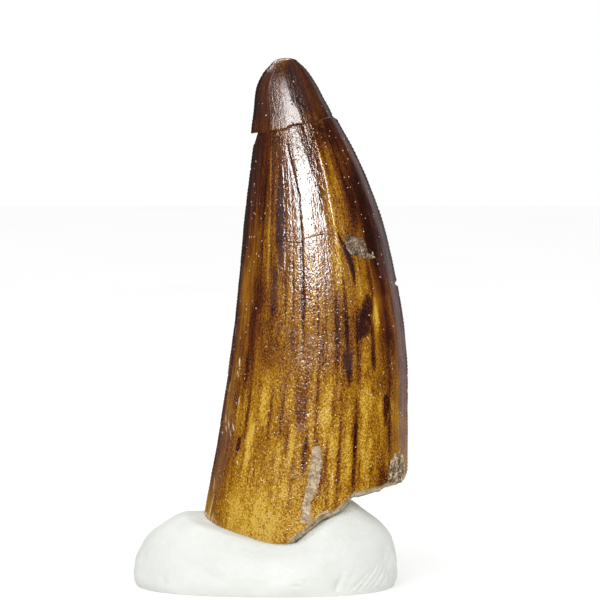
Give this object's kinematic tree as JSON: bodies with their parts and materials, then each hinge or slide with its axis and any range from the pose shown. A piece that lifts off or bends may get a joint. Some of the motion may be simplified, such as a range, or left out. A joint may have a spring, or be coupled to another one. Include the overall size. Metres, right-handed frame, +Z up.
{
  "type": "fossil suchomimus tooth on stand",
  "caption": "Fossil theropod tooth crown, tall and gently curved with faint lengthwise flutes, glued back at its breaks and standing upright in a lump of white modelling putty.",
  "frame": {"origin": "bottom centre of the object's box, on the table under the putty", "axes": "+Z up along the tooth, +X to the right of the shown face, -Y out of the shown face"},
  "size_m": [0.0228, 0.018, 0.0438],
  "materials": {
    "enamel_dark": "glossy dark red-brown fossil enamel, finely wrinkled",
    "enamel_brown": "glossy chocolate to amber fossil enamel with fine lengthwise streaks",
    "enamel_amber": "glossy golden-brown fossil enamel with brown streaks and blotches",
    "matrix_rock": "matt gritty grey sandstone",
    "white_putty": "matt white modelling tack with soft finger folds"
  },
  "bodies": {
    "root": {"tooth_tip": "enamel_dark", "tooth_middle": "enamel_brown", "tooth_base": "enamel_amber", "matrix_patch": "matrix_rock", "matrix_vein": "matrix_rock", "matrix_corner": "matrix_rock", "putty_stand": "white_putty"}
  },
  "joints": []
}
